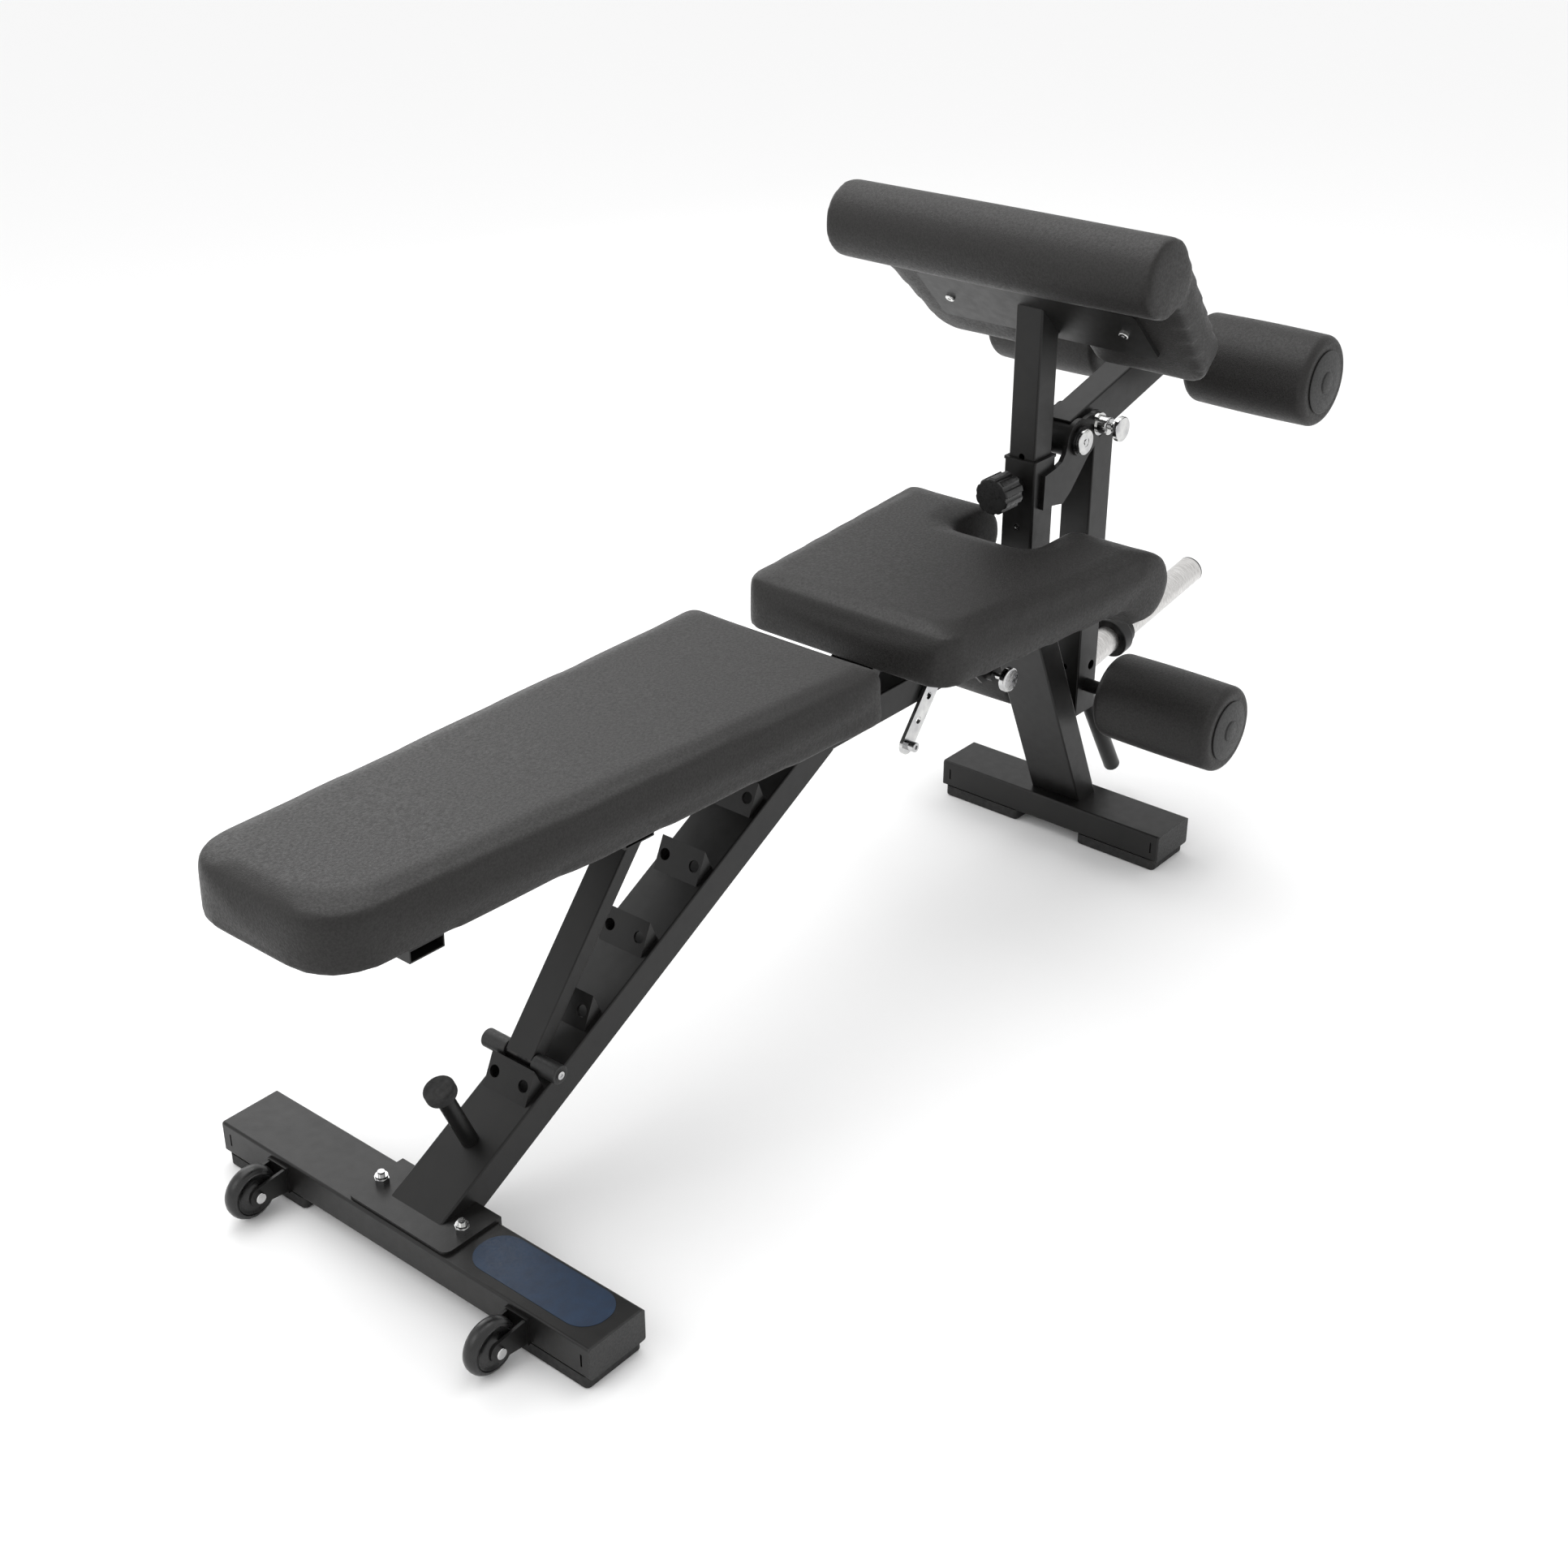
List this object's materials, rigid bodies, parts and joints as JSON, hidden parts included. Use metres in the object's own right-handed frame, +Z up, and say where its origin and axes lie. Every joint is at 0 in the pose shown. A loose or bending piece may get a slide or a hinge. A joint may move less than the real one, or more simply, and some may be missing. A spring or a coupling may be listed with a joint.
{
  "type": "decline sit up bench",
  "caption": "Adjustable sit-up bench with a ladder-propped backrest, notched seat, sloped arm-curl pad on a post, and a swinging leg arm with foam rollers and a weight post.",
  "frame": {"origin": "on the floor, under the middle of the whole bench's length and width", "axes": "+X towards the leg-arm end, +Y to the left of someone looking along +X, +Z up"},
  "size_m": [2.1767, 0.7272, 1.1795],
  "materials": {
    "powder_black": "fine textured satin powder coat",
    "dark_zinc": "dark satin",
    "leatherette": "fine grained leatherette",
    "black_plastic": "moulded, matte",
    "gloss_plastic": "moulded, glossy",
    "black_rubber": "matte",
    "chrome": "bright plated",
    "satin_chrome": "satin plated",
    "navy_decal": "printed film"
  },
  "bodies": {
    "frame": {"front_crossbar": "powder_black", "saddle_plate": "powder_black", "frame_bolts": "chrome", "front_decal": "navy_decal", "wheel_brackets": "powder_black", "wheel_axles": "chrome", "main_beam": "powder_black", "catch_blocks": "powder_black", "bumper_post": "powder_black", "bumpers": "black_rubber", "seat_beam": "powder_black", "rear_leg": "powder_black", "rear_crossbar": "powder_black", "feet": "black_rubber", "end_caps": "black_plastic", "hinge_lugs": "powder_black", "hinge_bolts": "dark_zinc", "seat_pin_bracket": "powder_black", "receiver_tube": "powder_black", "receiver_liner": "black_plastic", "neck_plates": "powder_black", "pivot_shaft": "dark_zinc", "pivot_caps": "chrome", "pivot_pin_body": "chrome"},
    "wheel_far": {"wheel_far": "gloss_plastic"},
    "wheel_near": {"wheel_near": "gloss_plastic"},
    "backrest": {"backrest_rails": "powder_black", "backrest_cross_bars": "powder_black", "backrest_pad": "leatherette", "strut_bolt": "dark_zinc"},
    "strut": {"strut_tube": "powder_black", "strut_pin": "dark_zinc", "strut_sleeves": "black_plastic", "strut_end_bolts": "chrome"},
    "seat": {"seat_frame": "powder_black", "seat_cross_plates": "powder_black", "seat_pad": "leatherette", "seat_stay": "chrome"},
    "seat_pin": {"seat_pin_knob": "chrome"},
    "curl": {"post_tube": "powder_black", "board_panel": "powder_black", "board_bolts": "chrome", "curl_pad": "leatherette"},
    "curl_knob": {"collar_knob": "gloss_plastic"},
    "pivot_pin": {"pivot_pin_knob": "chrome"},
    "leg_arm": {"pivot_barrel": "powder_black", "upper_arm": "powder_black", "swing_arm": "powder_black", "arm_end_caps": "black_plastic", "weight_post": "satin_chrome", "weight_collar": "powder_black", "arm_plugs": "black_plastic", "arm_handle": "powder_black", "roller_axles": "powder_black", "roller_caps": "black_plastic"},
    "roller_upper_far": {"roller_upper_far": "leatherette"},
    "roller_upper_near": {"roller_upper_near": "leatherette"},
    "roller_lower_far": {"roller_lower_far": "leatherette"},
    "roller_lower_near": {"roller_lower_near": "leatherette"}
  },
  "joints": [
    {"name": "backrest_tilt", "type": "hinge", "parent": "frame", "child": "backrest", "pos_m": [-0.0867, 0, 0.56], "axis": [0, 1, 0], "range_deg": [0, 60]},
    {"name": "strut_swing", "type": "hinge", "parent": "backrest", "child": "strut", "pos_m": [-0.4037, 0, 0.54], "axis": [0, -1, 0], "range_deg": [0, 72]},
    {"name": "seat_tilt", "type": "hinge", "parent": "frame", "child": "seat", "pos_m": [0.0533, 0, 0.54], "axis": [0, -1, 0], "range_deg": [0, 10]},
    {"name": "seat_pin_pull", "type": "slide", "parent": "frame", "child": "seat_pin", "axis": [0, -1, 0], "range_m": [0, 0.008], "stiffness_N_per_m": 500, "springref_m": -0.004},
    {"name": "curl_height", "type": "slide", "parent": "frame", "child": "curl", "axis": [0, 0, 1], "range_m": [-0.045, 0.045]},
    {"name": "curl_knob_pull", "type": "slide", "parent": "frame", "child": "curl_knob", "axis": [-1, 0, 0], "range_m": [0, 0.008], "stiffness_N_per_m": 500, "springref_m": -0.004},
    {"name": "leg_arm_swing", "type": "hinge", "parent": "frame", "child": "leg_arm", "pos_m": [0.5983, 0, 0.765], "axis": [0, -1, 0], "range_deg": [0, 50]},
    {"name": "pivot_pin_pull", "type": "slide", "parent": "frame", "child": "pivot_pin", "axis": [0, -1, 0], "range_m": [0, 0.008], "stiffness_N_per_m": 500, "springref_m": -0.004},
    {"name": "wheel_spin_far", "type": "hinge", "parent": "frame", "child": "wheel_far", "pos_m": [-0.9787, 0.2375, 0.042], "axis": [0, 1, 0], "continuous": true},
    {"name": "wheel_spin_near", "type": "hinge", "parent": "frame", "child": "wheel_near", "pos_m": [-0.9787, -0.2375, 0.042], "axis": [0, 1, 0], "continuous": true},
    {"name": "roller_spin_upper_far", "type": "hinge", "parent": "leg_arm", "child": "roller_upper_far", "pos_m": [0.8983, 0.2, 0.847], "axis": [0, 1, 0], "continuous": true},
    {"name": "roller_spin_upper_near", "type": "hinge", "parent": "leg_arm", "child": "roller_upper_near", "pos_m": [0.8983, -0.2, 0.847], "axis": [0, 1, 0], "continuous": true},
    {"name": "roller_spin_lower_far", "type": "hinge", "parent": "leg_arm", "child": "roller_lower_far", "pos_m": [0.6893, 0.2, 0.286], "axis": [0, 1, 0], "continuous": true},
    {"name": "roller_spin_lower_near", "type": "hinge", "parent": "leg_arm", "child": "roller_lower_near", "pos_m": [0.6893, -0.2, 0.286], "axis": [0, 1, 0], "continuous": true}
  ],
  "couplings": [
    {"joint": "strut_swing", "follows": "backrest_tilt", "ratio": 1.2}
  ]
}
